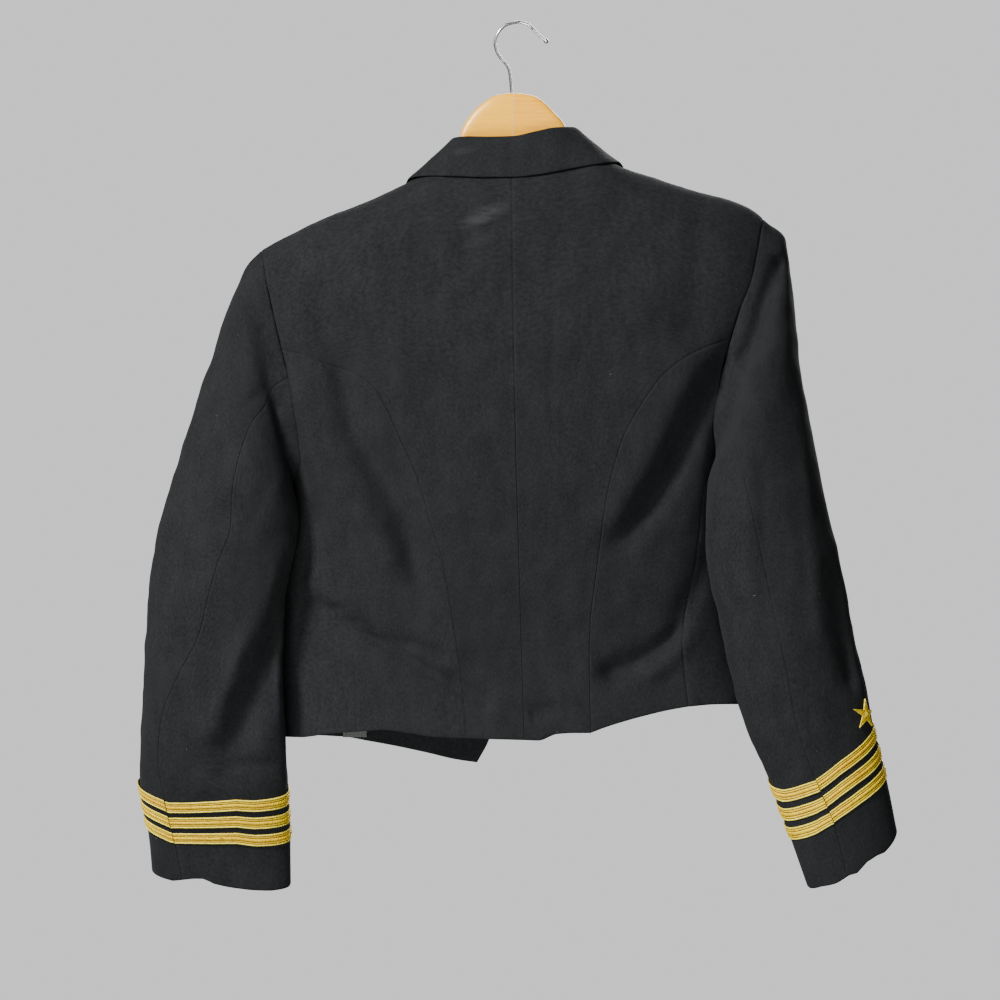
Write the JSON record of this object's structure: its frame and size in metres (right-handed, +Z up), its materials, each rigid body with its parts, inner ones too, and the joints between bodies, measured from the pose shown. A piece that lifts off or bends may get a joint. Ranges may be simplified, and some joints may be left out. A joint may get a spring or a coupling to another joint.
{
  "type": "mess jacket on hanger",
  "caption": "Short black mess jacket with gold cuff lace and stars, hanging open on a wooden coat hanger with a wire hook.",
  "frame": {"origin": "under the crown of the hanger's hook, where a rail or pin holds it", "axes": "+Z up, +Y out of the jacket's back, +X towards the wearer's left"},
  "size_m": [0.7584, 0.1204, 0.8679],
  "materials": {
    "wool": "matt fine wool twill",
    "gold_lace": "ribbed metallic gold lace",
    "gilt": "polished gilt",
    "wood": "varnished light wood",
    "chrome": "bright plated wire",
    "lining": "satin lining"
  },
  "bodies": {
    "root": {"back_left": "wool", "back_right": "wool", "side_left": "wool", "side_right": "wool", "front_left": "wool", "front_right": "wool", "lapel_left": "wool", "lapel_right": "wool", "collar": "wool", "upper_sleeve_left": "wool", "upper_sleeve_right": "wool", "under_sleeve_left": "wool", "under_sleeve_right": "wool", "lace_left_1": "gold_lace", "lace_left_2": "gold_lace", "lace_left_3": "gold_lace", "lace_right_1": "gold_lace", "lace_right_2": "gold_lace", "lace_right_3": "gold_lace", "star_left": "gold_lace", "star_right": "gold_lace", "button_left_1": "gilt", "button_left_2": "gilt", "button_left_3": "gilt", "button_right_1": "gilt", "button_right_2": "gilt", "button_right_3": "gilt", "hanger_left": "wood", "hanger_right": "wood", "hook": "chrome", "lining_left": "lining"}
  },
  "joints": []
}
